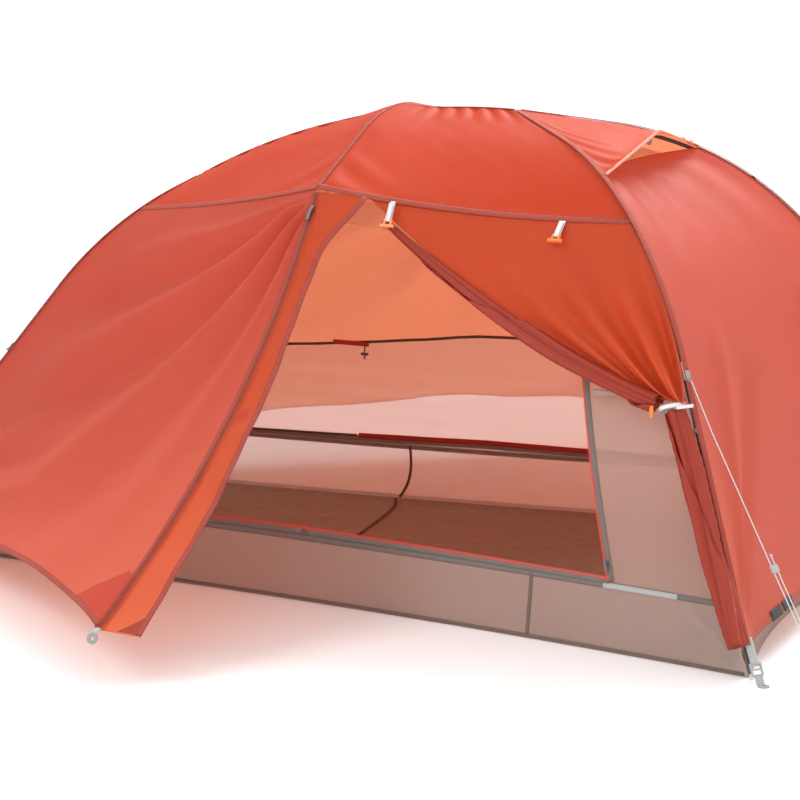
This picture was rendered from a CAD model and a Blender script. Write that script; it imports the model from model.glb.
import math
from functools import partial

import bpy
import numpy as np
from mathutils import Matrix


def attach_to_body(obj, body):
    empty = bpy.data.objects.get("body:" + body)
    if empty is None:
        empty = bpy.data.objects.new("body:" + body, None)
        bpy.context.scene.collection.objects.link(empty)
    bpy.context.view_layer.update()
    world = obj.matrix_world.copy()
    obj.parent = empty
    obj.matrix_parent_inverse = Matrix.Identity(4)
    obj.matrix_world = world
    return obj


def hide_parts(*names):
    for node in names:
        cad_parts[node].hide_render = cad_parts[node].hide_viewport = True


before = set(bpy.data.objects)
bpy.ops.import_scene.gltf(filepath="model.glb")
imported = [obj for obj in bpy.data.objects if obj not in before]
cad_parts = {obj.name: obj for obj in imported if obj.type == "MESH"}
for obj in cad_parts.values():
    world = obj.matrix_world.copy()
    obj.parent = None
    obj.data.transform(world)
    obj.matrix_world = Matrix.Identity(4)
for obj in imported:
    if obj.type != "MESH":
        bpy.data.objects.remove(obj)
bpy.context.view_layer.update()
scene = bpy.context.scene
MM, TURN = 0.001, 2 * math.pi
scene.view_settings.view_transform = "Standard"

# ---- camera: long lens, well back, looking down a little and to the left
cam_data = bpy.data.cameras.new("camera")
FOCAL_SHARE = 4.84  # focal length as a share of the sensor's width
cam_data.sensor_width = 36
cam_data.lens = FOCAL_SHARE * cam_data.sensor_width
cam_data.clip_end = 60
cam = bpy.data.objects.new("camera", cam_data)
cam.location = (3.755, -7.781, 2.069)
cam.rotation_euler = (math.radians(90 - 11.24), 0, math.radians(25.75))
scene.collection.objects.link(cam)
scene.camera = cam


# ---- shape functions, in mm


def arr(x):
    return np.asarray(x, float)


def unit(a):
    return a / np.linalg.norm(a, axis=-1, keepdims=True)


def vec(x, y, z):
    x, y, z = np.broadcast_arrays(arr(x), y, z)
    return np.stack([x, y, z], axis=-1)


def mix(a, b, t):
    a, b, t = arr(a), arr(b), arr(t)
    if a.ndim and a.shape[-1:] == (3,) or b.ndim and b.shape[-1:] == (3,):
        t = t[..., None]
    return a + (b - a) * t


def smooth(x, lo, hi):
    t = np.clip((arr(x) - lo) / (hi - lo), 0, 1)
    return t * t * (3 - 2 * t)


def bump(x, at, width):
    return np.exp(-((arr(x) - at) / width) ** 2)


RIDGE_TOP, RIDGE_R, RIDGE_MID = 1021.0, 1520.0, 235.0
RIDGE_CZ = RIDGE_TOP - RIDGE_R
FOOT_Z, FLY_OFF, INNER_OFF = 14.0, 10.0, -32.0
HEM_H = 60.0
TUB_H = 138.0
HALF_L, HALF_W_R, HALF_W_L, FLOOR_BOW = 1120.0, 690.0, 450.0, 55.0


def ridge_z(x):
    return RIDGE_CZ + np.sqrt(RIDGE_R ** 2 - (arr(x) - RIDGE_MID) ** 2)


class Leg:
    def __init__(self, x, angle, straight, slope0, bend_r, slope1):
        self.x, self.z, self.angle = x, float(ridge_z(x)), math.radians(angle)
        self.straight, self.s0, self.bend, self.s1 = straight, slope0, bend_r, slope1
        self.way = 1 if x > 0 else -1
        self.bend_len = bend_r * math.radians(slope1 - slope0)
        r0, r1 = math.radians(slope0), math.radians(slope1)
        low = self.z - straight * math.sin(r0) - bend_r * (math.cos(r0) - math.cos(r1))
        self.length = straight + self.bend_len + (low - FOOT_Z) / math.sin(r1)
        self.out = np.array([self.way * math.cos(self.angle), -math.sin(self.angle), 0])
        self.side = np.array([-self.out[1], self.out[0], 0])

    def slope(self, a):
        bent = self.s0 + np.degrees((arr(a) - self.straight) / self.bend)
        return np.radians(np.clip(bent, self.s0, self.s1))

    def pt(self, a, off):
        a = arr(a)
        th, r0, r1 = self.slope(a), math.radians(self.s0), math.radians(self.s1)
        rest = np.maximum(0, a - self.straight - self.bend_len)
        first = np.minimum(a, self.straight)
        run = (first * math.cos(r0) + self.bend * (np.sin(th) - math.sin(r0))
               + rest * math.cos(r1) + off * np.sin(th))
        z = (self.z - first * math.sin(r0) - self.bend * (math.cos(r0) - np.cos(th))
             - rest * math.sin(r1) + off * np.cos(th))
        return vec(self.x + self.way * run * math.cos(self.angle),
                   -run * math.sin(self.angle), z)

    def normal(self, a):
        th = self.slope(a)
        return vec(self.out[0] * np.sin(th), self.out[1] * np.sin(th), np.cos(th))


RIGHT = Leg(285, 40, 230, 9, 780, 62)
LEFT = Leg(-500, 36.3, 60, 26, 800, 51.5)
BROW_TOP, BROW_SLOPE, BROW_REACH, BROW_R = 1018.0, math.radians(24), 385.0, 450.0
BROW_Y = BROW_R * math.sin(BROW_SLOPE)


def brow_pt(y, off):
    y = arr(y)
    th = np.where(np.abs(y) < BROW_Y, np.arcsin(np.clip(np.abs(y) / BROW_R, 0, 1)), BROW_SLOPE)
    drop = BROW_R * (1 - np.cos(th)) + np.maximum(0, np.abs(y) - BROW_Y) * math.tan(BROW_SLOPE)
    return vec(0, -y - np.sign(y) * off * np.sin(th), BROW_TOP - drop + off * np.cos(th))


def ridge_pt(x, off):
    th = np.arcsin((arr(x) - RIDGE_MID) / RIDGE_R)
    return vec(x + off * np.sin(th), 0, ridge_z(x) + off * np.cos(th))


def coons(c0, c1, d0, d1, u, v):
    u, v = np.broadcast_arrays(arr(u), arr(v))
    U, V = u[..., None], v[..., None]
    p00, p10, p01, p11 = c0(0.0), c0(1.0), c1(0.0), c1(1.0)
    return ((1 - V) * c0(u) + V * c1(u) + (1 - U) * d0(v) + U * d1(v)
            - (1 - U) * (1 - V) * p00 - U * (1 - V) * p10 - (1 - U) * V * p01 - U * V * p11)


# the fly
SEAM_LEN = {1: 588.0, -1: 160.0}  # from the hub down a leg to the roof seam
FLY_BROW = BROW_REACH + 12
LEGS = {1: RIGHT, -1: LEFT}
SIDES = ((1, "right"), (-1, "left"))
SEAM_SAG = {1: np.array([0, 5, -18.0]), -1: np.array([0, 5, -10.0])}
FLY_CORNER = np.array([-42.0, -1300.0, 112.0])
ZIP_SAG = np.array([30.0, 35.0, -30.0])
DOOR_HEM = np.array([0, 25.0, 54.0])
VENT_LEN, END_HEM_RISE, END_DIP = 440.0, 20.0, 60.0
END_BOW = {1: 40.0, -1: 25.0}
HOOD_TIP, HOOD_START = np.array([628.0, 0, 1002.0]), 60.0
HOOD_LEN = VENT_LEN - 4


def fly_leg(leg, a):
    return leg.pt(a, FLY_OFF)


def hem_len(leg):
    return leg.length - (HEM_H - FOOT_Z) / math.sin(math.radians(leg.s1))


def fly_ridge(x):
    x = arr(x)
    return ridge_pt(x, FLY_OFF) + vec(0, 0, 14 * np.exp(-(x / 60) ** 2))


def fly_brow(y):
    return brow_pt(y, FLY_OFF)


def fly_seam(way, u):
    u = arr(u)
    base = mix(fly_brow(FLY_BROW), fly_leg(LEGS[way], SEAM_LEN[way]), u)
    return base + (4 * u * (1 - u))[..., None] * SEAM_SAG[way]


def fly_roof(way, u, v):
    leg = LEGS[way]
    return coons(lambda t: fly_ridge(mix(0, leg.x, t)), lambda t: fly_seam(way, t),
                 lambda t: fly_brow(mix(0, FLY_BROW, t)),
                 lambda t: fly_leg(leg, mix(0, SEAM_LEN[way], t)), u, v)


def fly_end(way, u, v):
    leg, u, v = LEGS[way], arr(u), arr(v)
    top = VENT_LEN if way > 0 else 30
    y = mix(-1, 1, u)
    p = fly_leg(leg, mix(top, hem_len(leg), v))
    arch = 1 - y * y
    dip = END_DIP * (1 - v) ** 2 if way > 0 else 0 * v
    inward = dip + (END_BOW[way] - dip) * v * v
    return vec(p[..., 0] - way * inward * arch, -p[..., 1] * y,
               p[..., 2] + arch * END_HEM_RISE * v ** 3)


def hood_lip(u):
    y = mix(-1, 1, u)
    p = fly_leg(RIGHT, HOOD_LEN)
    corner = vec(p[0], -p[1] * np.where(y < 0, -1, 1), p[2])
    return mix(corner, np.broadcast_to(HOOD_TIP, corner.shape), (1 - np.abs(y)) ** 0.9)


def zip_edge(t):
    t = arr(t)
    return mix(fly_brow(FLY_BROW), FLY_CORNER, t) + (4 * t * (1 - t))[..., None] * ZIP_SAG


def fly_door(way, u, v):
    leg = LEGS[way]
    return coons(lambda t: fly_seam(way, t),
                 lambda t: mix(FLY_CORNER, fly_leg(leg, hem_len(leg)), t)
                 + (3.2 * arr(t) ** 0.75 * (1 - arr(t)))[..., None] * DOOR_HEM,
                 zip_edge,
                 lambda t: fly_leg(leg, mix(SEAM_LEN[way], hem_len(leg), t)), u, v)


TIE_LEN = 1036.0
TIE = fly_leg(RIGHT, TIE_LEN) + [-48.0, -10, 0]
CURTAIN_FROM = 0.17


def sag(t, d):
    t = arr(t)
    return (4 * t * (1 - t))[..., None] * np.array(d, float)


def curtain(u, v):
    c0 = lambda t: fly_seam(1, mix(CURTAIN_FROM, 0.985, t)) + [0, 0, -5.0]
    c1 = lambda t: mix(TIE + [-14.0, -6, 16], TIE + [28.0, -4, 16], t)
    d0 = lambda t: mix(c0(0.0), c1(0.0), t) + sag(t, (0, 0, -46))
    d1 = lambda t: (mix(fly_leg(RIGHT, mix(SEAM_LEN[1] + 8, TIE_LEN - 18, t)),
                        c1(1.0), arr(t) ** 4)
                    + (1 - arr(t))[..., None] * np.array([-5.0, 0, 0])
                    + [0, -2.0, 0])
    u, v = np.broadcast_arrays(arr(u), arr(v))
    return coons(c0, c1, d0, d1, u, v) + vec(0, -16 * 30 * u * (1 - u) * v * (1 - v), 0)


# the tub and the canopy


def floor_front(x, grow=0.0):
    x = arr(x)
    w = mix(HALF_W_L, HALF_W_R, (x + 1) / 2)
    return vec(x * (HALF_L + grow), -w - grow + FLOOR_BOW * (1 - x * x), 0)


def floor_end(way, y, grow=0.0):
    y = arr(y)
    bow, w = (120.0, HALF_W_R) if way > 0 else (90.0, HALF_W_L)
    return vec(way * (HALF_L + grow - bow * (1 - y * y)), y * (w + grow), 0)


LEAN = {1: (62.0, 42.0), -1: (94.0, 68.0)}


def tub_top_front(x):
    x = arr(x)
    p, t = floor_front(x), np.abs(x) ** 6
    lean_x = np.where(x > 0, LEAN[1][0], LEAN[-1][0])
    lean_y = np.where(x > 0, LEAN[1][1], LEAN[-1][1])
    return vec(p[..., 0] - np.sign(x) * lean_x * t, p[..., 1] + mix(26.0, lean_y, t), TUB_H)


def tub_top_end(way, y):
    y = arr(y)
    p, t = floor_end(way, y), np.abs(y) ** 6
    return vec(p[..., 0] - way * mix(26.0, LEAN[way][0], t),
               p[..., 1] - np.sign(y) * LEAN[way][1] * t, TUB_H)


def tub_front(u, v):
    x = mix(-0.994, 0.994, u)
    foot = floor_front(x) + [0, 0, 1.4]
    return mix(tub_top_front(x), foot, v)


def tub_end(way, u, v):
    y = way * mix(-0.988, 0.988, u)
    foot = floor_end(way, y) + [0, 0, 1.4]
    return mix(tub_top_end(way, y), foot, v)


INNER_BROW = BROW_REACH - 30


def inner_top_len(leg):
    return leg.length - (TUB_H + 3 + 14) / math.sin(math.radians(leg.s1))


def inner_seam(way, u):
    u = arr(u)
    return (mix(brow_pt(INNER_BROW, INNER_OFF), LEGS[way].pt(SEAM_LEN[way], INNER_OFF), u)
            + sag(u, (0, 8, -14)))


def tub_rim(x):
    return tub_top_front(x) + [0, 0, 3.0]


def inner_wall(way, u, v):
    leg = LEGS[way]
    rim_end = tub_rim(way * 0.994)
    return coons(lambda t: inner_seam(way, t),
                 lambda t: tub_rim(way * 0.994 * arr(t)),
                 lambda t: mix(brow_pt(INNER_BROW, INNER_OFF), tub_rim(0.0), t),
                 lambda t: mix(leg.pt(mix(SEAM_LEN[way], inner_top_len(leg), t), INNER_OFF),
                               rim_end, arr(t) ** 8), u, v)


def zip_share(v):
    return 0.7 + 0.1 * (1 - arr(v)) ** 2


def inner_roof(way, u, v):
    leg = LEGS[way]
    return coons(lambda t: ridge_pt(mix(0, leg.x - way * 20, t), INNER_OFF),
                 lambda t: inner_seam(way, t),
                 lambda t: mix(ridge_pt(0.0, INNER_OFF), brow_pt(INNER_BROW, INNER_OFF), t)
                 + sag(t, (0, 0, 20)),
                 lambda t: leg.pt(mix(20, SEAM_LEN[way], t), INNER_OFF), u, v)


def inner_end(way, u, v):
    leg, u, v = LEGS[way], arr(u), arr(v)
    p = leg.pt(mix(40, inner_top_len(leg), v), INNER_OFF)
    rim = tub_top_end(way, way * 0.985) + [0, 0, 3.0]
    rim = np.array([rim[0], -abs(rim[1]), rim[2]])
    edge = mix(p, rim, v ** 8)
    y = mix(-1, 1, u)
    low = tub_top_end(way, y * 0.985) + [0, 0, 3.0]
    bow = v ** 10
    inward = 85 * (1 - y * y) * (1 - (1 - v) ** 6)
    return vec(mix(edge[..., 0] - way * inward, low[..., 0], bow), -edge[..., 1] * y, edge[..., 2])


# ---- node materials
class Tree:
    """Short names for the nodes that every material here uses."""

    def __init__(self, name):
        self.mat = bpy.data.materials.new(name)
        self.mat.use_nodes = True
        self.t = self.mat.node_tree
        self.bsdf = self.t.nodes["Principled BSDF"]
        self.out = self.t.nodes["Material Output"]

    def node(self, kind, **values):
        n = self.t.nodes.new(kind)
        for k, v in values.items():
            setattr(n, k, v)
        return n

    def link(self, a, b):
        self.t.links.new(a, b)

    def math(self, op, a, b=None, c=None):
        n = self.node("ShaderNodeMath", operation=op)
        for i, v in enumerate((a, b, c)):
            if v is None:
                continue
            if isinstance(v, (int, float)):
                n.inputs[i].default_value = v
            else:
                self.link(v, n.inputs[i])
        return n.outputs[0]

    def uv(self):
        s = self.node("ShaderNodeSeparateXYZ")
        self.link(self.node("ShaderNodeUVMap", uv_map="UVMap").outputs[0], s.inputs[0])
        return s.outputs[0], s.outputs[1]

    def place(self):
        s = self.node("ShaderNodeSeparateXYZ")
        self.link(self.node("ShaderNodeTexCoord").outputs["Object"], s.inputs[0])
        return s.outputs[0], s.outputs[2]

    def noise(self, scale, detail=3, rough=0.5):
        n = self.node("ShaderNodeTexNoise")
        self.link(self.node("ShaderNodeTexCoord").outputs["Object"], n.inputs["Vector"])
        n.inputs["Scale"].default_value = scale
        n.inputs["Detail"].default_value = detail
        n.inputs["Roughness"].default_value = rough
        return n.outputs[0]

    def ramp(self, value, lo, hi, a, b):
        n = self.node("ShaderNodeMapRange", clamp=True)
        self.link(value, n.inputs[0])
        for i, v in enumerate((lo, hi, a, b)):
            n.inputs[i + 1].default_value = v
        return n.outputs[0]

    def tint(self, mask, under, colour):
        """The colour where the mask is 1; under is a colour too, or another node's output."""
        n = self.node("ShaderNodeMix", data_type="RGBA")
        self.link(mask, n.inputs[0])
        if isinstance(under, tuple):
            n.inputs[6].default_value = (*under, 1)
        else:
            self.link(under, n.inputs[6])
        n.inputs[7].default_value = (*colour, 1)
        return n.outputs[2]

    def finish(self, base, rough):
        self.link(base, self.bsdf.inputs["Base Color"])
        self.link(rough, self.bsdf.inputs["Roughness"])

    def bump(self, height, strength, distance):
        n = self.node("ShaderNodeBump")
        n.inputs["Strength"].default_value = strength
        n.inputs["Distance"].default_value = distance
        self.link(height, n.inputs["Height"])
        self.link(n.outputs[0], self.bsdf.inputs["Normal"])

    def lines(self, value, pitch, width):
        """1 on a thin line once every pitch metres, 0 between."""
        f = self.math("FRACT", self.math("DIVIDE", value, pitch))
        return self.math("LESS_THAN", f, width / pitch)

    def wave(self, value, pitch):
        s = self.math("SINE", self.math("MULTIPLY", value, TURN / pitch))
        return self.math("MULTIPLY_ADD", s, 0.5, 0.5)

    def see_through(self, share, colour, clear):
        """Light on the far side glows through the cloth, and some passes straight between
        its threads."""
        glow = self.node("ShaderNodeBsdfTranslucent")
        glow.inputs[0].default_value = (*colour, 1)
        both = self.node("ShaderNodeMixShader")
        both.inputs[0].default_value = share
        self.link(self.bsdf.outputs[0], both.inputs[1])
        self.link(glow.outputs[0], both.inputs[2])
        gaps = self.node("ShaderNodeMixShader")
        gaps.inputs[0].default_value = clear
        self.link(both.outputs[0], gaps.inputs[1])
        self.link(self.node("ShaderNodeBsdfTransparent").outputs[0], gaps.inputs[2])
        self.link(gaps.outputs[0], self.out.inputs[0])


def scaled(c, k):
    return tuple(min(1.0, x * k) for x in c)


def cloth_material(name, colour, rough=0.5, ripstop=0.006, glow=None, share=0.6, clear=0.0):
    """Ripstop cloth: a fine weave, a grid of thicker threads, and light through it."""
    t = Tree(name)
    u, v = t.uv()
    base = t.tint(t.noise(7, 4, 0.6), scaled(colour, 0.92), scaled(colour, 1.08))
    grid = t.math("MAXIMUM", t.lines(u, ripstop, 0.0006), t.lines(v, ripstop, 0.0006))
    soft = t.math("MULTIPLY", grid, 0.35)
    t.finish(t.tint(soft, base, scaled(colour, 0.82)),
             t.ramp(t.noise(40, 3), 0.3, 0.7, rough - 0.06, rough + 0.08))
    t.bsdf.inputs["Specular IOR Level"].default_value = 0.3
    weave = t.math("ADD", t.wave(u, 0.0009), t.wave(v, 0.0009))
    t.bump(t.math("ADD", weave, grid), 0.25, 0.0003)
    if glow:
        t.see_through(share, glow, clear)
    return t.mat


def mesh_material(name, colour, cover):
    """Netting: threads both ways with clear openings between, cover being their share."""
    t = Tree(name)
    u, v = t.uv()
    threads = t.math("MAXIMUM", t.lines(u, 0.0016, 0.0006), t.lines(v, 0.0016, 0.0006))
    base = t.tint(t.noise(9, 3), scaled(colour, 0.9), scaled(colour, 1.1))
    t.finish(t.tint(t.math("MULTIPLY", threads, 0.4), base, scaled(colour, 0.7)),
             t.ramp(t.noise(60), 0.3, 0.7, 0.7, 0.85))
    t.bump(threads, 0.3, 0.0003)
    t.bsdf.inputs["Alpha"].default_value = cover
    return t.mat


def webbing_material(name, colour, pitch=0.0016, stitched=True, from_object=False):
    """Woven tape: ribs across it, a chevron of threads, and a stitched row near each edge."""
    t = Tree(name)
    u, v = t.place() if from_object else t.uv()
    ribs = t.wave(v, pitch)
    twill = t.wave(t.math("ADD", v, t.math("ABSOLUTE", u)), pitch * 1.7)
    base = t.tint(t.math("MULTIPLY", ribs, twill), scaled(colour, 0.72), scaled(colour, 1.1))
    if stitched:
        inset = t.math("SUBTRACT", t.math("ABSOLUTE", u), 0.0035)
        row = t.math("LESS_THAN", t.math("ABSOLUTE", inset), 0.0005)
        dash = t.math("LESS_THAN", t.math("FRACT", t.math("DIVIDE", v, 0.0034)), 0.65)
        thread = t.math("MULTIPLY", row, dash)
        base = t.tint(t.math("MULTIPLY", thread, 0.7), base, scaled(colour, 0.45))
    t.finish(base, t.ramp(t.noise(90), 0.3, 0.7, 0.65, 0.85))
    t.bump(t.math("ADD", ribs, twill), 0.5, 0.0004)
    return t.mat


def hard_material(name, colour, rough, metal=0.0, scale=120):
    """Moulded plastic or machined metal: fine grain, and scuffs that change the gloss."""
    t = Tree(name)
    wear = t.noise(scale / 6, 5, 0.65)
    t.finish(t.tint(wear, scaled(colour, 0.92), scaled(colour, 1.08)),
             t.ramp(wear, 0.3, 0.7, max(0.05, rough - 0.1), rough + 0.12))
    t.bsdf.inputs["Metallic"].default_value = metal
    t.bump(t.noise(scale * 12, 2), 0.2, 0.0002)
    return t.mat


# each cloth is a closed shell, so light crosses two faces and takes these tints twice
FLY_GLOW = (1.0, 0.58, 0.41)
M = {
    "roof": cloth_material("fly_roof_cloth", (0.60, 0.062, 0.020), 0.42, glow=FLY_GLOW),
    "side": cloth_material("fly_side_cloth", (0.57, 0.096, 0.068), 0.45, glow=FLY_GLOW),
    "end": cloth_material("fly_end_cloth", (0.60, 0.125, 0.095), 0.45, glow=FLY_GLOW),
    "flap": cloth_material("fly_flap_cloth", (0.58, 0.082, 0.026), 0.45, glow=FLY_GLOW),
    "fold": cloth_material("fly_fold_cloth", (0.34, 0.036, 0.018), 0.45, share=0.12,
                           glow=(0.8, 0.3, 0.2)),
    "mesh": mesh_material("canopy_mesh", (0.66, 0.30, 0.18), 0.2),
    "wall": cloth_material("canopy_cloth", (0.53, 0.415, 0.375), 0.6, share=0.6, clear=0.36,
                           glow=(0.96, 0.89, 0.85)),
    "tub": cloth_material("tub_cloth", (0.44, 0.385, 0.355), 0.42, 0.008, share=0.5, clear=0.36,
                          glow=(0.96, 0.88, 0.84)),
    "floor": cloth_material("floor_cloth", (0.28, 0.20, 0.135), 0.4, 0.008),
}
WOVEN = {  # name, colour, pitch of the ribs, stitched edges, mapped by place
    "seam": ("fly_seam_tape", (0.40, 0.050, 0.028), 0.0012),
    "piping": ("fly_piping", (0.80, 0.30, 0.20), 0.0012, False),
    "band": ("canopy_band", (0.62, 0.44, 0.38), 0.0016),
    "tub_seam": ("tub_seam_tape", (0.17, 0.125, 0.105), 0.0012),
    "grey": ("grey_webbing", (0.48, 0.49, 0.48)),
    "white": ("white_webbing", (0.82, 0.82, 0.80)),
    "black": ("black_webbing", (0.03, 0.03, 0.032)),
    "red": ("red_webbing", (0.62, 0.045, 0.030)),
    "tape": ("zip_tape", (0.21, 0.175, 0.16), 0.0009),
    "brown": ("brown_tape", (0.16, 0.090, 0.062), 0.0012, False),
    "cord": ("guy_cord", (0.62, 0.62, 0.61), 0.0024, False, True),
    "strut": ("strut_webbing", (0.82, 0.82, 0.80), 0.0016, False, True),
    "guy_tab": ("guy_tab_webbing", (0.34, 0.34, 0.34), 0.0016, False, True),
}
HARD = {  # name, colour, roughness, metal, scale of the grain
    "teeth": ("zip_teeth", (0.20, 0.060, 0.040), 0.35),
    "red_teeth": ("canopy_zip_teeth", (0.72, 0.055, 0.028), 0.4),
    "dark_metal": ("slider_metal", (0.16, 0.16, 0.165), 0.35, 0.8, 300),
    "tube": ("pole_tube", (0.09, 0.095, 0.105), 0.35, 0.9, 300),
    "hub": ("hub_plastic", (0.05, 0.05, 0.055), 0.5),
    "metal": ("bare_metal", (0.62, 0.62, 0.63), 0.28, 1.0, 300),
    "clip": ("clip_plastic", (0.32, 0.32, 0.33), 0.45),
    "olive": ("olive_plastic", (0.09, 0.085, 0.05), 0.5),
    "orange": ("orange_plastic", (0.85, 0.20, 0.03), 0.32),
    "lock": ("lock_plastic", (0.35, 0.35, 0.36), 0.42),
}
M.update({key: webbing_material(*facts) for key, facts in WOVEN.items()})
M.update({key: hard_material(*facts) for key, facts in HARD.items()})


# ---- mesh building


def make_object(name, verts, quads, uv, mats, index=None, mirror=False):
    """A mesh from vertices in mm; uv in metres, so that every weave keeps its real size."""
    verts, quads = np.array(verts, float), np.array(quads, int)
    if mirror:
        verts[:, 1] *= -1
        quads = quads[:, ::-1]
    me = bpy.data.meshes.new(name)
    me.vertices.add(len(verts))
    me.vertices.foreach_set("co", (verts * MM).ravel())
    me.loops.add(quads.size)
    me.loops.foreach_set("vertex_index", quads.ravel().astype(np.int32))
    me.polygons.add(len(quads))
    me.polygons.foreach_set("loop_start", np.arange(0, quads.size, 4, dtype=np.int32))
    me.update(calc_edges=True)
    me.polygons.foreach_set("use_smooth", np.ones(len(quads), dtype=bool))
    layer = me.uv_layers.new(name="UVMap")
    layer.data.foreach_set("uv", np.array(uv, float)[quads.ravel()].ravel())
    for m in mats:
        me.materials.append(M[m])
    if index is not None:
        me.polygons.foreach_set("material_index", np.array(index, dtype=np.int32))
    me.validate()
    me.update()
    ob = bpy.data.objects.new(name, me)
    scene.collection.objects.link(ob)
    return ob


def normals_of(P):
    du, dv = np.gradient(P, axis=0), np.gradient(P, axis=1)
    n = np.cross(du, dv)
    return n / np.maximum(np.linalg.norm(n, axis=-1, keepdims=True), 1e-9)


def arc(P, axis):
    """Length along a grid, in metres, measured on its middle line."""
    d = np.linalg.norm(np.diff(P, axis=axis), axis=-1) * MM
    d = np.concatenate([np.zeros_like(np.take(d, [0], axis)), d], axis=axis)
    return np.cumsum(d, axis=axis)


def shell(P, thick, first=0):
    """Closed two-faced grid around the surface P; returns vertices and quads."""
    n, m = P.shape[:2]
    N = normals_of(P)
    top, low = P + N * thick / 2, P - N * thick / 2
    k = n * m
    a = (np.arange(n - 1)[:, None] * m + np.arange(m - 1)[None]).ravel()
    up = np.stack([a, a + m, a + m + 1, a + 1], 1)
    down = np.stack([a, a + 1, a + m + 1, a + m], 1) + k
    j = np.arange(m - 1)
    i = np.arange(n - 1) * m
    last = (n - 1) * m
    rim = np.concatenate([
        np.stack([j, j + 1, j + 1 + k, j + k], 1),
        np.stack([last + j + 1, last + j, last + j + k, last + j + 1 + k], 1),
        np.stack([i + m, i, i + k, i + m + k], 1),
        np.stack([i + m - 1, i + 2 * m - 1, i + 2 * m - 1 + k, i + m - 1 + k], 1)])
    quads = np.concatenate([up, down, rim])
    return np.concatenate([top.reshape(-1, 3), low.reshape(-1, 3)]), quads + first


def grid(nu, nv, u0=0.0, u1=1.0, v0=0.0, v1=1.0):
    return np.meshgrid(np.linspace(u0, u1, nu + 1), np.linspace(v0, v1, nv + 1), indexing="ij")


def edge_fade(x, width=0.08):
    return smooth(x, 0, width) * smooth(1 - x, 0, width)


def attach(ob, nodes=()):
    """Every soft piece of the tent rides on its main body."""
    if nodes:
        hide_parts(*nodes)
    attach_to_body(ob, "tent")


def panel(name, f, nu, nv, mat, nodes=(), ranges=(0, 1, 0, 1), move=None, thick=0.8,
          mirror=False, index=None):
    """A sewn panel of cloth. move(u, v, P) gives how far each point stands off the plain shape."""
    u, v = grid(nu, nv, *ranges)
    P = f(u, v)
    if move is not None:
        P = P + normals_of(P) * move(u, v, P)[..., None]
    verts, quads = shell(P, thick)
    au, av = arc(P, 0), arc(P, 1)
    uv = np.stack([au, av], -1).reshape(-1, 2)
    mats = mat if isinstance(mat, (list, tuple)) else [mat]
    which = None
    if index is not None:
        cell = index(u[:-1, :-1], v[:-1, :-1]).astype(int).ravel()
        which = np.concatenate([cell, cell, np.zeros(len(quads) - 2 * len(cell), int)])
    ob = make_object(name, verts, quads, np.concatenate([uv, uv]), mats, which, mirror)
    attach(ob, nodes)


def strips(name, runs, width, mat, nodes=(), thick=1.0, crown=0.8, mirror=False,
           off=0.9, both=False):
    """Tapes sewn on along lines. A run is (points, normals) or (points, normals, width), and
    one normal may stand for all its points."""
    verts, quads, uvs, first = [], [], [], 0
    flips = (1, -1) if both else (1,)
    for flip in flips:
        for run in runs:
            pts = arr(run[0]) * [1, flip, 1]
            nor = unit(np.broadcast_to(arr(run[1]) * [1, flip, 1], pts.shape))
            w = run[2] if len(run) > 2 else width
            tang = unit(np.gradient(pts, axis=0))
            side = np.cross(nor, tang)
            x = np.linspace(-1, 1, 7)
            lift = off + crown * (1 - x ** 4)
            P = (pts[:, None] + side[:, None] * (x * w / 2)[None, :, None]
                 + nor[:, None] * lift[None, :, None])
            vv, qq = shell(P, thick, first)
            along = np.concatenate([[0], np.cumsum(np.linalg.norm(np.diff(pts, axis=0),
                                                                  axis=1))]) * MM
            uv = np.stack([np.broadcast_to(x * w / 2 * MM, P.shape[:2]),
                           np.broadcast_to(along[:, None], P.shape[:2])], -1).reshape(-1, 2)
            verts.append(vv)
            quads.append(qq)
            uvs += [uv, uv]
            first += len(vv)
    ob = make_object(name, np.concatenate(verts), np.concatenate(quads), np.concatenate(uvs),
                     [mat], None, mirror)
    attach(ob, nodes)


def on_surface(f, u, v, e=0.004, flip=1):
    """Points and outward normals along a line drawn on the surface f."""
    u, v = np.broadcast_arrays(arr(u), arr(v))
    n = np.cross(f(u + e, v) - f(u - e, v), f(u, v + e) - f(u, v - e))
    return f(u, v), unit(n) * flip


def ripples(P, seed, scale, n=7):
    """Soft irregular waves in space, from -1 to 1, always the same for one seed."""
    rng = np.random.default_rng(seed)
    total = 0
    for _ in range(n):
        k = rng.normal(size=3)
        k /= np.linalg.norm(k)
        total = total + np.sin(P @ (k * TURN / (scale * rng.uniform(0.6, 1.5)))
                               + rng.uniform(0, TURN))
    return total / n * 1.5


def fan(x, y, folds):
    """Folds that run out of the point (0, 0). A fold is (degrees, width, height, from, to)."""
    r, ang = np.hypot(x, y), np.degrees(np.arctan2(y, x))
    total = 0
    for at, width, height, r0, r1 in folds:
        along = smooth(r, r0 * 0.3, r0) * (1 - smooth(r, r1 * 0.75, r1))
        total = total + height * bump(ang, at, width) * along
    return total


# ---- the guyline comes first
GUY_START = RIGHT.pt(980.0, FLY_OFF + 13)
GUY_END = np.array([1330.0, -800.0, 12.4])
GUY_SPAN = float(np.linalg.norm(GUY_END - GUY_START))
GUY_WAY = (GUY_END - GUY_START) / GUY_SPAN
GUY_SIDE = unit(np.cross(GUY_WAY, [0, 0, 1]))
STRAND, TAIL_AT = 5.0, 0.56
TURN_AT = 1 - 8.5 / GUY_SPAN


def guy_at(t, off=0.0):
    return GUY_START + (GUY_END - GUY_START) * t + off * GUY_SIDE


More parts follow.
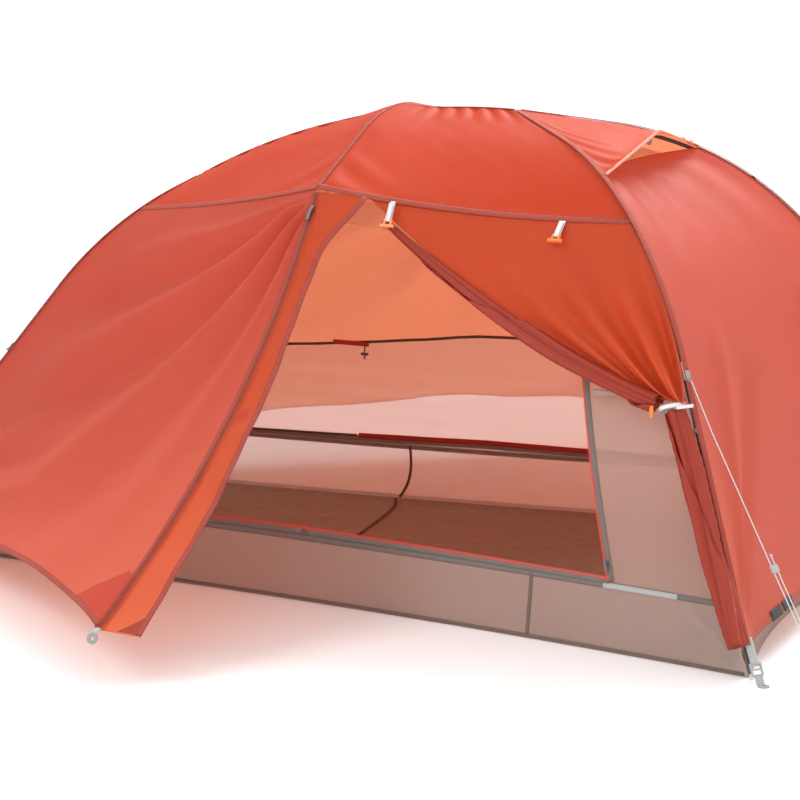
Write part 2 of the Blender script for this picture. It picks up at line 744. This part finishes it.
guy_path = [guy_at(TURN_AT * i / 12, STRAND * min(1, i / 2)) for i in (0, 1, 2, 7, 12)]
guy_path += [guy_at(TURN_AT) + STRAND * (math.sin(a) * GUY_WAY + math.cos(a) * GUY_SIDE)
             for a in (math.radians(15 * k) for k in range(1, 12))]
guy_path += [guy_at(TURN_AT + (TAIL_AT - TURN_AT) * i / 2, -STRAND) for i in range(3)]
guy_curve = bpy.data.curves.new("guyline_cord", "CURVE")
guy_curve.dimensions = "3D"
guy_curve.bevel_depth = 0.0012
guy_curve.bevel_resolution = 3
guy_curve.use_fill_caps = True
spline = guy_curve.splines.new("POLY")
spline.points.add(len(guy_path) - 1)
for point, place in zip(spline.points, guy_path):
    point.co = (*(place * MM), 1)
guy_curve.materials.append(M["cord"])
guy_cord = bpy.data.objects.new("guyline_cord", guy_curve)
scene.collection.objects.link(guy_cord)
attach(guy_cord, ["guyline"])


def knot(name, at, r, mat):
    """A small overhand knot: a tube wound one and a half times round itself."""
    t = np.linspace(0, TURN * 1.6, 60)
    c = np.stack([np.cos(t) * r, np.sin(t) * r, (t / t[-1] - 0.5) * r * 1.6], -1)
    tang = unit(np.gradient(c, axis=0))
    side = unit(np.cross(tang, [0.3, 0.2, 0.93]))
    up = np.cross(side, tang)
    a = np.linspace(0, TURN, 13)
    P = (c[:, None] + 1.2 * (np.cos(a)[None, :, None] * side[:, None]
                             + np.sin(a)[None, :, None] * up[:, None])) + at
    verts, quads = shell(P, 0.3)
    ob = make_object(name, verts, quads, np.zeros((len(verts), 2)), [mat])
    attach(ob)
    return ob


guy_knot = knot("guyline_knot", guy_at(TAIL_AT, -STRAND), 1.8, "cord")


# ---- the tub and the floor


def floor_sheet(u, v):
    """The floor, u along the tent and v across it."""
    x = mix(-1, 1, u)
    y = mix(-1, 1, v)
    e = floor_front(x)
    bow = np.where(x > 0, 120.0, 90.0)
    return vec(x * (HALF_L - bow * (1 - y * y) * np.abs(x) ** 3), -e[..., 1] * y * 0.997, 1.2)


panel("floor", floor_sheet, 160, 96, "floor", ["tub_floor"],
      (0.002, 0.998, 0.002, 0.998), thick=0.5,
      move=lambda u, v, P: 0.9 + 0.9 * ripples(P, 3, 160) * edge_fade(u) * edge_fade(v))


def tub_wrinkle(seed):
    def move(u, v, P):
        corner = smooth(np.abs(2 * u - 1), 0.72, 1.0)
        along = 1400 * (1 - np.abs(2 * u - 1))
        angle = np.degrees(np.arctan2(150 * (1 - v), along + 15))
        fanned = np.sin(angle * 0.42 + 2.2 * np.sin(along / 90)) * (1 - smooth(along, 120, 420))
        pulls = (np.sin(u * 190 + 3 * v) * (0.7 + 1.6 * corner) + 3.4 * fanned
                 + 1.8 * ripples(P, seed, 120))
        return pulls * smooth(v, 0, 0.25) * smooth(1 - v, 0, 0.25)
    return move


for n, (part, node, f, nu, nv, back) in enumerate((
        ("front", "front", tub_front, 260, 16, False), ("back", "back", tub_front, 200, 12, True),
        ("head", "right", partial(tub_end, 1), 140, 14, False),
        ("foot", "left", partial(tub_end, -1), 120, 14, False))):
    panel(f"tub_{part}_wall", f, nu, nv, "tub", ["tub_" + node],
          move=tub_wrinkle(11 + n), mirror=back)

# tapes along the top and foot of the tub, with its upright seams
x_run = np.linspace(-0.985, 0.985, 120)
front_up = [0.0, -0.98, 0.2]
rim_run = (tub_top_front(x_run) - [0, 0, 3], front_up)
strips("tub_rim_tape", [rim_run], 13, "tape")
strips("tub_rim_tape_back", [rim_run], 13, "band", mirror=True)
light_x = np.linspace(0.68, 0.855, 30)
strips("tub_light_tape", [(tub_top_front(light_x) - [0, 0, 4.0], front_up)], 12, "grey",
       off=2.2)
foot_run = (floor_front(x_run) + [0, 0, 7.0], front_up)
upright = [(mix(tub_top_front(x), floor_front(x) + [0, 0, 1.4], np.linspace(0.02, 0.98, 12)),
            front_up, 7) for x in (-0.44, 0.52)]
strips("tub_seams", [foot_run] + upright, 6, "tub_seam")
strips("tub_seams_back", [foot_run], 6, "tub", mirror=True)

# the seam that comes down the back wall of the tub and curves forward over the floor
fall = np.linspace(0, 1, 16)
wall_seam = mix(tub_top_front(-0.175 - 0.035 * fall ** 3),
                floor_front(-0.175 - 0.035 * fall ** 3) + [0, 0, 4.0], fall)
wall_seam = wall_seam * [1, -1, 1] - [0, 2.6, 0]
floor_seam = np.array([[-236.0, 470, 4], [-205, 400, 4], [-185, 320, 4], [-168, 220, 4],
                       [-150, 100, 4], [-138, 0, 4], [-130, -120, 4], [-126, -240, 4]])
strips("tub_back_seam", [(wall_seam, [0, -1.0, 0.1]), (floor_seam, [0, 0, 1.0])], 7, "brown",
       off=0.4)


# ---- the canopy


def inner_move(seed, size=2.0):
    def move(u, v, P):
        return size * ripples(P, seed, 170) * edge_fade(u) * edge_fade(v)
    return move


def band_height(way, u):
    """Where the mesh of the back wall ends, as a share of the wall's height from the top."""
    return 0.607 + (0.04 if way < 0 else -0.06) * arr(u)


def back_move(way):
    """Pulls that run level along the back wall, strongest low down."""
    def move(u, v, P):
        level = np.sin(v * 95 + 3.5 * np.sin(u * 3.1 + way)) * smooth(v, 0.62, 0.8)
        level *= 0.5 + 0.5 * np.sin(u * 7 + v * 9 + way)
        return (2.5 * ripples(P, 30 + way, 170) + 2.0 * level) * edge_fade(u) * edge_fade(v)
    return move


def both_ways(half):
    """Join half(way), made for the right and the left, into one run of u from -1 to 1."""
    def joined(u, v, *rest):
        right, left = (half(way)(np.abs(u), v, *rest) for way in (1, -1))
        right_side = np.asarray(u) >= 0
        return np.where(right_side[..., None] if np.ndim(right) > np.ndim(u) else right_side,
                        right, left)
    return joined


PANEL_TOP = 0.495  # the mesh of the front wall ends here
for way, end in SIDES:
    panel("canopy_front_" + end,
          lambda u, v, w=way: inner_wall(w, mix(zip_share(v) + 0.008, 0.997, u), v),
          40, 70, ["wall", "mesh"], ["inner_front_" + end],
          (0, 1, 0.004, 1), thick=0.5, move=inner_move(20 + way),
          index=lambda u, v: v < PANEL_TOP)
panel("canopy_back_wall", both_ways(lambda way: partial(inner_wall, way)), 141, 90,
      ["wall", "mesh"], ["inner_back"], (-0.997, 0.997, 0.004, 1), thick=0.5,
      move=both_ways(back_move), mirror=True,
      index=both_ways(lambda way: lambda u, v: v < band_height(way, u)))
for way, end in SIDES:
    panel("canopy_header_" + end,
          lambda u, v, w=way: inner_wall(w, mix(0, zip_share(0.08) - 0.01, u), v),
          40, 6, "mesh", ["inner_front_header"] if way > 0 else (),
          (0, 1, 0.004, 0.08), thick=0.5)
    panel("canopy_end_" + end, partial(inner_end, way), 50, 60,
          ["wall", "mesh"], ["inner_end_" + end],
          (0.01, 0.99, 0.02, 1), thick=0.5, move=inner_move(40 + way),
          index=lambda u, v: v < 0.5)
    for back in (False, True):
        side = "back" if back else "front"
        panel(f"canopy_roof_{side}_{end}", partial(inner_roof, way), 40, 30,
              "mesh", ["inner_roof_" + side] if way > 0 else (),
              (0, 1, 0, 1), thick=0.5, move=inner_move(50 + way), mirror=back)


def wall_line(way, us, vs):
    return on_surface(partial(inner_wall, way), us, vs, flip=-way)


t40 = np.linspace(0, 1, 40)
t80 = np.linspace(0, 0.984, 80)


def back_line(way, us, at, width):
    """A tape on the inner face of the back wall, lying on its pulls."""
    pts, nor = wall_line(way, us, at)
    pts = pts - nor * back_move(way)(us, np.broadcast_to(at, us.shape), pts)[:, None]
    return pts - nor * 2.2, -nor, width


strips("canopy_back_line", [back_line(way, t80, band_height(way, t80), 7) for way in (1, -1)], 7,
       "brown", mirror=True, off=0.0, crown=0.4)
strips("canopy_back_band", [back_line(1, t80, 0.972, 13), back_line(-1, t80 * 0.3, 0.972, 13)], 13,
       "red", mirror=True, off=0.0, crown=0.4)
strips("canopy_back_hem", [back_line(-1, 0.3 + t80 * 0.69, 0.972, 6)], 6, "brown",
       mirror=True, off=0.0, crown=0.4)
front_bands = [wall_line(way, zip_share(PANEL_TOP) + 0.02 + t40 * 0.265, PANEL_TOP)
               for way in (1, -1)]
strips("canopy_front_bands", front_bands, 12, "band")

# zips of the canopy: tape up both sides of the doorway and along its foot, with teeth
v_run = np.linspace(0.02, 0.985, 60)
foot_us = np.linspace(0.0, float(zip_share(0.985)), 30)


def zip_runs(side, low):
    """The zip's two sides and its foot; side and low shift them on the wall."""
    runs = [wall_line(way, zip_share(v_run) + side, v_run) for way in (1, -1)]
    return runs + [wall_line(way, foot_us, low) for way in (1, -1)]


strips("canopy_zip_tape", zip_runs(0.003, 0.987), 15, "tape", ["inner_zips"])
strips("canopy_zip_tape_back", zip_runs(0.003, 0.987), 15, "band", mirror=True)


def teeth(name, runs, pitch, size, mat, both=False):
    """Two interlocked rows of small blocks along each line."""
    box = np.array([[x, y, z] for x in (-1, 1) for y in (-1, 1) for z in (-1, 1)], float) / 2
    faces = np.array([[0, 1, 3, 2], [4, 6, 7, 5], [0, 4, 5, 1], [2, 3, 7, 6], [0, 2, 6, 4],
                      [1, 5, 7, 3]])
    verts, quads, first = [], [], 0
    for flip in ((1, -1) if both else (1,)):
        for pts, nor in runs:
            nor = np.broadcast_to(nor, pts.shape) * [1, flip, 1]
            pts = pts * [1, flip, 1]
            d = np.concatenate([[0], np.cumsum(np.linalg.norm(np.diff(pts, axis=0), axis=1))])
            at = np.arange(0, d[-1], pitch)
            p = np.stack([np.interp(at, d, pts[:, i]) for i in range(3)], 1)
            n = unit(np.stack([np.interp(at, d, nor[:, i]) for i in range(3)], 1))
            t = unit(np.gradient(p, axis=0))
            s = np.cross(n, t)
            shift = np.where(np.arange(len(at)) % 2 == 0, 1, -1)[:, None] * size[0] * 0.28
            block = box * size
            v = (p[:, None] + s[:, None] * (block[None, :, 0:1] + shift[:, None])
                 + t[:, None] * block[None, :, 1:2]
                 + n[:, None] * (block[None, :, 2:3] + 2.0))
            base = first + 8 * np.arange(len(at))[:, None, None]
            verts.append(v.reshape(-1, 3))
            q = faces[None] + base
            if flip < 0:
                q = q[:, :, ::-1]
            quads.append(q.reshape(-1, 4))
            first += 8 * len(at)
    verts = np.concatenate(verts)
    ob = make_object(name, verts, np.concatenate(quads), verts[:, :2] * MM, [mat])
    ob.data.polygons.foreach_set("use_smooth", np.zeros(len(ob.data.polygons), dtype=bool))
    attach(ob)


teeth("canopy_zip_teeth", zip_runs(-0.004, 0.978), 2.6, (4.2, 1.9, 1.4), "red_teeth",
      both=True)


def frames_along(pts):
    """Two directions square to a line at each of its points."""
    t = unit(np.gradient(pts, axis=0))
    side = np.cross(t, [0, 0, 1.0])
    side = unit(np.where(np.linalg.norm(side, axis=1, keepdims=True) < 0.15, [1.0, 0, 0], side))
    return side, np.cross(side, t)


def rolled(name, pts, radius, turns, twist, mat, nodes, ribs=0.12,
           seed=5, wide=1.0):
    """Cloth rolled up round a line: a spiral with soft creases along it."""
    pts = np.array(pts, float)
    n = len(pts)
    side, up = frames_along(pts)
    t = np.linspace(0, 1, n)
    s = np.linspace(0, 1, int(34 * turns) + 1)
    ang = TURN * turns * s[None] + twist * t[:, None]
    r = radius(t)[:, None] * (0.3 + 0.7 * s[None])
    r = r * (1 + ribs * np.sin(3 * ang + 5 * t[:, None]) + ribs * 0.6
             * np.sin(7 * ang + 11 * t[:, None] + seed) + 0.03 * np.sin(23 * t[:, None] + ang))
    P = pts[:, None] + r[..., None] * (np.cos(ang)[..., None] * side[:, None] * wide
                                       + np.sin(ang)[..., None] * up[:, None])
    panel(name, lambda u, v: P, 1, 1, mat, nodes, thick=0.5)


t_roll = np.linspace(0, 1, 110)
roll_v = mix(0.06, 0.9, t_roll)
rolled("canopy_rolled_door", inner_wall(-1, zip_share(roll_v) - 0.03, roll_v)
       + [0, 48.0, 0], lambda t: 24 * (0.7 + 1.2 * t * (1 - t)) * 0.9, 3, 3.0,
       "mesh", ["rolled_inner_door"])


# ---- the fly


def roof_move(way, seed):
    def move(u, v, P):
        edge = edge_fade(u, 0.05) * edge_fade(v, 0.05)
        pulls = 3.2 * np.sin(u * 46 + 4 * np.sin(v * 5)) * (1 - smooth(v, 0.03, 0.26)) * smooth(
            u, 0.12, 0.3)
        corner = 3.2 * np.sin(26 * (u - v)) * bump(u, 0.0, 0.2) * smooth(v, 0.5, 1)
        return way * -edge * (pulls + corner + 1.5 * ripples(P, seed, 260)
                              + 0.7 * ripples(P, seed + 1, 60))
    return move


for way, end in SIDES:
    for back in (False, True):
        side = "back" if back else "front"
        panel(f"fly_roof_cloth_{side}_{end}", partial(fly_roof, way), 110, 90, "roof",
              [f"fly_roof_{side}_{end}"], move=roof_move(way, 60 + way), mirror=back)

DOOR_FOLDS = [(14, 3.5, 8, 160, 900), (26, 4.5, -15, 140, 1000), (38, 5, 17, 120, 1100),
              (50, 4.5, -15, 140, 1150), (61, 4, 14, 120, 1250), (71, 3.5, -11, 120, 1250),
              (80, 3, 9, 100, 1200)]
CORNER_FOLDS = [(20, 4, 9, 60, 600), (34, 4, -9, 60, 700), (48, 5, 8, 60, 700)]
END_FOLDS = [(58, 4, 11, 80, 620), (70, 3.5, -10, 80, 700)]


def door_move(way, seed):
    def move(u, v, P):
        x, y = u * (1000 if way < 0 else 1080), v * 1150
        edge = smooth(u, 0, 0.03) * smooth(1 - u, 0, 0.08) * smooth(v, 0, 0.05)
        hem = 5 * np.sin(u * 21 + 1.4) * smooth(v, 0.75, 1.0) * edge_fade(u, 0.15)
        corner = fan(1000 * (1 - u), 1150 * (1 - v), CORNER_FOLDS)
        return -way * edge * (1.5 * fan(x, y, DOOR_FOLDS) + hem + corner
                              + 2.4 * ripples(P, seed, 240) + 0.8 * ripples(P, seed + 7, 70))
    return move


for n, (part, way, nu, nv) in enumerate((("front_left", -1, 170, 190),
                                        ("back_left", -1, 130, 150),
                                        ("back_right", 1, 130, 150))):
    panel("fly_door_" + part, partial(fly_door, way), nu, nv, "side",
          ["door_" + part], (0.004, 1, 0, 1), move=door_move(way, 71 + n),
          mirror=part.startswith("back"))


def end_move(way, seed):
    def move(u, v, P):
        edge = edge_fade(u, 0.06) * smooth(v, 0.0, 0.05)
        legs = sum(fan(900 * side, 1000 * (1 - v), END_FOLDS) for side in (u, 1 - u))
        top = 3.0 * np.sin(u * 30) * (1 - smooth(v, 0.02, 0.35))
        hem = 4 * np.sin(u * 17 + 0.6) * smooth(v, 0.8, 1)
        return way * edge * (1.4 * legs + 1.3 * top + hem + 2.0 * ripples(P, seed, 230))
    return move


for n, (way, end) in enumerate(SIDES):
    panel("fly_end_cloth_" + end, partial(fly_end, way), 130 - 20 * n, 120, "end",
          ["fly_end_" + end], (0.002, 0.998, 0, 1), move=end_move(way, 81 + n))


def hood_full(u, s):
    """The vent hood from the hub itself to its propped lip; s is the share of the leg."""
    u, s = arr(u), arr(s)
    y = mix(-1, 1, u)
    a = mix(4, HOOD_LEN, s)
    v = np.clip((a - HOOD_START) / (HOOD_LEN - HOOD_START), 0, 1)
    p = fly_leg(RIGHT, a)
    flat = vec(p[..., 0], -p[..., 1] * y, p[..., 2] + 6 * v * (1 - y * y))
    return mix(flat, hood_lip(u), v ** 1.6) + [0, 0, 1.2]


def hood_move(u, v, P):
    edge = edge_fade(u, 0.05) * smooth(v, 0.1, 0.3)
    y = 2 * u - 1
    droop = -7 * (np.abs(y) * (1 - np.abs(y)) * 4) * v ** 2
    corner = 4.5 * np.sin(34 * (np.abs(y) + 0.6 * v)) * smooth(np.abs(y), 0.45, 0.9) * v
    return edge * (droop + corner + 1.6 * ripples(P, 91, 110))


panel("fly_vent_hood", hood_full, 120, 80, "roof", ["vent_hood"],
      (0.002, 0.998, 0, 1), move=hood_move)


def flap(u, v):
    t = mix(0.012, 0.998, v)
    width = 40 + 75 * np.exp(-(t / 0.09) ** 2) + 48 * t * t
    way = np.array([0.98, 0.16, -0.08])
    return zip_edge(t) + [2.5, 0, 0] + (arr(u) * width)[..., None] * way


def flap_move(u, v, P):
    curl = 3.5 * np.sin(v * 23 + 1.0) * u + 1.8 * np.sin(v * 61) * u ** 2
    return -(curl + 1.0 * ripples(P, 95, 90) + 3.0 * u * u)


panel("fly_storm_flap", flap, 20, 220, "flap", ["storm_flap"], move=flap_move)

# the right front door, tied back: curtain, rolled edge and the tail below the tie
PLEATS = 3.6


def curtain_move(u, v, P):
    grow = 1.5 + 11 * smooth(v, 0.1, 0.8) * (1 - 0.55 * smooth(v, 0.8, 1.0))
    wave = np.sin(TURN * (PLEATS * u ** 1.15) + 2.2 * np.sin(2.2 * v) + 0.5)
    fine = 0.22 * np.sin(TURN * (11 * u) + 5 * v + 1.3) * smooth(v, 0.4, 0.9)
    droop = -10 * bump(u, 0.25, 0.3) * v * (1 - v) * 4
    edge = smooth(v, 0.0, 0.12) * smooth(1 - u, 0, 0.06)
    grow = grow * (0.5 + 1.5 * smooth(u, 0.15, 0.75))
    return -edge * (grow * (wave + fine) * (1 - smooth(v, 0.9, 1.0) * 0.5) * 0.8 + droop)


panel("fly_door_tied_curtain", curtain, 190, 130, "flap", ["door_front_right"],
      (0, 1, 0, 0.995), move=curtain_move)


def curtain_edge(t):
    return (mix(fly_seam(1, CURTAIN_FROM) + [0, 0, -16.0],
                TIE + [-14.0, -6, 16], t) + sag(t, (0, 0, -46)))


t_edge = np.linspace(0, 1, 150)
rolled("fly_door_tied_roll", curtain_edge(mix(0.05, 0.985, t_edge)) + [2.0, -9, -5],
       lambda t: 6 + 13 * np.sin(np.radians(np.minimum(1, t * 1.3) * 110)), 2.5, 9.0, "fold",
       ["door_front_right_roll"], ribs=0.3)

tail_t = np.linspace(0, 1, 120)
tail_pts = (fly_leg(RIGHT, mix(TIE_LEN + 6, hem_len(RIGHT) - 8, tail_t))
            + mix(np.array([-40.0, -18, 0]), np.array([-6.0, -27, 0]), tail_t ** 0.7))
rolled("fly_door_tied_tail", tail_pts, lambda t: 15 + 6.5 * np.sin(math.pi * (0.12 + 0.7 * t)), 3,
       2.2, "fold", ["door_front_right_tail"],
       ribs=0.3, seed=2, wide=1.2)


# ---- seams, hems and tapes
a_right, a_left = (np.linspace(12, hem_len(leg) - 2, 110) for leg in (RIGHT, LEFT))
strips("fly_leg_seams", [(RIGHT.pt(a_right, FLY_OFF + 1), RIGHT.normal(a_right), 12),
                         (LEFT.pt(a_left, FLY_OFF + 1), LEFT.normal(a_left), 11)], 12, "seam",
       both=True)
x_ridge = np.linspace(-490, 283, 120)
lean = np.arcsin((x_ridge - RIDGE_MID) / RIDGE_R)
strips("fly_ridge_seam", [(fly_ridge(x_ridge), vec(np.sin(lean), 0, np.cos(lean)))], 10, "seam")
y_brow = np.linspace(0, FLY_BROW, 70)
lean = np.where(y_brow < BROW_Y, np.arcsin(np.clip(y_brow / BROW_R, 0, 1)), BROW_SLOPE)
strips("fly_brow_seam", [(fly_brow(y_brow), vec(0, -np.sin(lean), np.cos(lean)))], 9, "seam",
       both=True)
t_seam = np.linspace(0.0, 1.0, 90)
strips("fly_roof_seams", [(fly_seam(way, t_seam), [0.0, -0.62, 0.78]) for way in (1, -1)], 15,
       "seam", both=True)


def moved(f, move, u, v, flip, lift=0.0):
    """Points and outward normals on a panel after its folds are in it."""
    u, v = np.broadcast_arrays(arr(u), arr(v))
    pts, nor = on_surface(f, u, v)
    return pts + nor * (move(u, v, pts) + flip * lift)[..., None], nor * flip


HEMS = {"front_left": (partial(fly_door, -1), door_move(-1, 71), 1),
        "back_left": (partial(fly_door, -1), door_move(-1, 72), 1),
        "back_right": (partial(fly_door, 1), door_move(1, 73), -1),
        "end_right": (partial(fly_end, 1), end_move(1, 81), -1),
        "end_left": (partial(fly_end, -1), end_move(-1, 82), 1)}
u_hem = np.linspace(0.006, 0.994, 160)
for end, (f, move, flip) in HEMS.items():
    strips("fly_hem_" + end, [moved(f, move, u_hem, 0.994, flip)], 12, "seam",
           mirror=end.startswith("back"))
strips("fly_flap_hem", [moved(flap, flap_move, 0.95, np.linspace(0.0, 1.0, 160), -1)], 12, "seam")
lip_u = np.linspace(0.01, 0.99, 120)
lip_pts = hood_lip(lip_u) + [0, 0, 1.5]
strips("fly_hood_piping", [(lip_pts, [0.45, 0, 0.9])], 7, "piping", crown=1.6)

# the fly's front zip: tapes on both sides and two rows of teeth
zt = np.linspace(0.012, 0.995, 140)
zip_nor = np.array([0.12, -0.66, 0.74])
zip_pts = zip_edge(zt)
for name, back in (("fly_zip_tape", False), ("fly_zip_tape_back", True)):
    strips(name, [(zip_pts, zip_nor)], 24, "seam", off=-2.6, crown=0.2, mirror=back)
teeth("fly_zip_teeth", [(zip_pts - zip_nor * 3.2, zip_nor)], 3.0, (4.0, 1.8, 1.6), "teeth",
      both=True)

# patches where the cloth is doubled


def patch(name, hem, corner, mat, mirror=False):
    """A small doubled corner of cloth on a panel; corner(u, v) maps onto it."""
    u, v = grid(24, 24)
    f, move, flip = HEMS[hem]
    P, _ = moved(f, move, *corner(u, v), flip, 1.2)
    verts, quads = shell(P, 0.6)
    uv = np.stack([arc(P, 0), arc(P, 1)], -1).reshape(-1, 2)
    ob = make_object(name, verts, quads, np.concatenate([uv, uv]), [mat], None, mirror)
    attach(ob)


for hem in ("front_left", "back_left", "back_right"):
    patch("fly_corner_patch_" + hem, hem,
          lambda u, v: (0.006 + 0.11 * u * (0.15 + 0.85 * v), 0.88 + 0.11 * v), "side",
          hem.startswith("back"))
for hem in ("front_left", "back_left"):
    patch("fly_leg_patch_" + hem, hem,
          lambda u, v: (0.99 - 0.10 * u * (0.1 + 0.9 * v), 0.89 + 0.10 * v), "side",
          hem.startswith("back"))
HEMS["flap"] = (flap, flap_move, -1)
patch("fly_flap_patch", "flap",
      lambda u, v: (0.98 - 0.55 * u * (0.08 + 0.92 * v), 0.955 + 0.042 * v), "fold")
patch("fly_flap_tab", "flap", lambda u, v: (0.12 + 0.45 * u, 0.485 + 0.022 * v), "side")


# ---- webbing at the corners


def corner_line(leg, t0, t1):
    top = fly_leg(leg, hem_len(leg) - 24) + 9 * leg.out
    foot = leg.pt(leg.length, 0.0)
    foot = np.array([foot[0], foot[1], 0])
    reach = (1164 - abs(foot[0])) / math.cos(leg.angle)
    end = foot + (reach - 13.5) * leg.out + [0, 0, 4.0]
    nor = np.cross(unit(end - top), leg.side)
    return mix(top, end, np.linspace(t0, t1, 14)), nor if nor @ leg.out > 0 else -nor


strap_runs = []
for leg in (RIGHT, LEFT):
    strap_runs += [corner_line(leg, 0.0, 0.62), corner_line(leg, 0.80, 1.045)]
strips("corner_webbing", strap_runs, 19, "grey", ["corner_straps"], thick=1.4,
       off=0.0, crown=0.3, both=True)
# a short tab from the closed vestibule's corner down to its peg eyelet
tab_way = np.array([0.0, -19.0, -8.5])
tab_pts = FLY_CORNER + [0, 4.0, 3.5] + np.linspace(0, 1, 8)[:, None] * tab_way
strips("vestibule_tabs", [(tab_pts, [0, -0.41, 0.91])], 14, "grey",
       thick=1.4, off=1.0, crown=0.3, both=True)
f, move, flip = HEMS["end_right"]
tab_runs = [moved(f, move, np.linspace(u0, u0 + 0.045, 10), 0.992, flip) for u0 in (0.135, 0.19)]
strips("hem_tabs", tab_runs, 22, "black", ["hem_adjusters"], thick=1.4, off=2.6,
       crown=0.3)
GEAR_X, GEAR_V = -240, 0.622  # where the gear loop hangs on the back wall
gear_pt = inner_wall(-1, -GEAR_X / 830, GEAR_V) * [1, -1, 1] - [0, 26.0, 0]
label_x = np.linspace(-80, 15, 16)
strips("gear_label", [(gear_pt + vec(label_x, -2, 0), [0, -1.0, 0])], 11, "red",
       ["gear_loop"], thick=1.2, off=0.0, crown=0.3)

# webbing loops under the roof seam: down, round the toggle's pin and up again
loop_runs = []
for share, tilt in ((0.25, 30), (0.79, 50)):
    a = math.radians(tilt)
    top = fly_seam(1, share) + [0, -20.0, -6]
    down = np.array([0, -math.sin(a), -math.cos(a)])
    face = np.array([0, -math.cos(a), math.sin(a)])
    turn = np.linspace(0, math.pi, 13)
    line = [top + down * d + face * 3.3 for d in np.linspace(-4, 33, 10)]
    norm = [face] * 10
    for b in turn:
        n = face * math.cos(b) + down * math.sin(b)
        line.append(top + down * 34 + n * 3.3)
        norm.append(n)
    line += [top + down * d - face * 3.3 for d in np.linspace(33, -10, 10)]
    norm += [-face] * 10
    loop_runs.append((np.array(line), np.array(norm), 11))
strips("door_loop_webbing", loop_runs, 11, "white", ["door_loops"], thick=0.9,
       off=0.0, crown=0.1)


def band(centre, axis, rx, ry, width):
    """The run of a tape closed round a bundle of cloth."""
    side = unit(np.cross(axis, [0, 0, 1.0]))
    up = np.cross(side, unit(axis))
    a = np.linspace(0, TURN * 0.985, 64)
    nor = np.cos(a)[:, None] * side * ry + np.sin(a)[:, None] * up * rx
    pts = centre + np.cos(a)[:, None] * side * rx + np.sin(a)[:, None] * up * ry
    return pts, nor, width


tie_axis = RIGHT.pt(TIE_LEN + 20, 0) - RIGHT.pt(TIE_LEN - 20, 0)
tie_mid = TIE + [4.0, -9, 2]
left_tie = fly_leg(LEFT, 640) + [-10.0, -12, 0]
t12 = np.linspace(0, 1, 12)
tie_runs = [band(tie_mid, tie_axis, 25, 20, 9),
            (mix(tie_mid + [16.0, -12, 4], TIE + [58.0, -22, 14], t12), [0.3, -0.9, 0.3], 8),
            (mix(left_tie + [2.0, -2, 36], left_tie + [-6.0, -12, -2], t12),
             [-0.5, -0.8, 0.3], 7)]
strips("tie_band", tie_runs, 9, "white", ["tie_loop"], thick=1.0, off=0.3,
       crown=0.3)

# ---- finish of the CAD parts
FINISH = {
    "tube": ["ridge_pole", "brow_pole", "front_right_leg", "back_right_leg", "front_left_leg",
             "back_left_leg"],
    "hub": ["right_hub", "left_hub", "brow_swivel"],
    "metal": ["pole_ferrules", "pole_tips", "guyline_loop"],
    "dark_metal": ["front_zip_slider", "back_zip_slider", "fly_zip_slider"],
    "clip": ["canopy_clips"],
    "olive": ["gear_toggle"],
    "strut": ["vent_strut"],
    "orange": ["left_door_toggle", "right_door_toggle", "tie_toggle"],
    "lock": ["ladder_locks", "guyline_slider"],
    "guy_tab": ["guy_tabs", "stake_loops"],
}
for key, names in FINISH.items():
    for name in names:
        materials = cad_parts[name].data.materials
        materials.clear()
        materials.append(M[key])

# ---- floor, light and background
bpy.ops.mesh.primitive_plane_add(size=60, location=(0, 0, 0))
stage_floor = bpy.context.object
stage_floor.name = "stage_floor"
pale = Tree("stage_floor_paint")
pale.link(pale.tint(pale.noise(3), (0.90, 0.90, 0.90), (0.92, 0.92, 0.92)),
          pale.bsdf.inputs["Base Color"])
pale.bsdf.inputs["Roughness"].default_value = 0.9
stage_floor.data.materials.append(pale.mat)

world = bpy.data.worlds.new("studio")
scene.world = world
world.use_nodes = True
world.node_tree.nodes["Background"].inputs[0].default_value = (1, 1, 1, 1)
world.node_tree.nodes["Background"].inputs[1].default_value = 1.1


def area_light(name, place, aim, size, power):
    """A soft round light at one place, turned to another."""
    data = bpy.data.lights.new(name, "AREA")
    data.shape, data.size, data.energy = "DISK", size, power
    ob = bpy.data.objects.new(name, data)
    ob.location = place
    d = np.array(aim, float) - np.array(place, float)
    ob.rotation_euler = (math.atan2(math.hypot(d[0], d[1]), -d[2]) if d[2] < 0
                         else math.pi / 2, 0, math.atan2(d[1], d[0]) - math.pi / 2)
    scene.collection.objects.link(ob)


for light in (("key_light", (-3.2, -5.0, 6.0), (0, 0, 0.4), 3.5, 170),
              ("fill_light", (5.5, -4.0, 3.2), (0.2, 0, 0.5), 4.0, 50),
              ("rim_light", (0.5, 5.0, 5.5), (0, 0, 0.5), 4.5, 620)):
    area_light(*light)
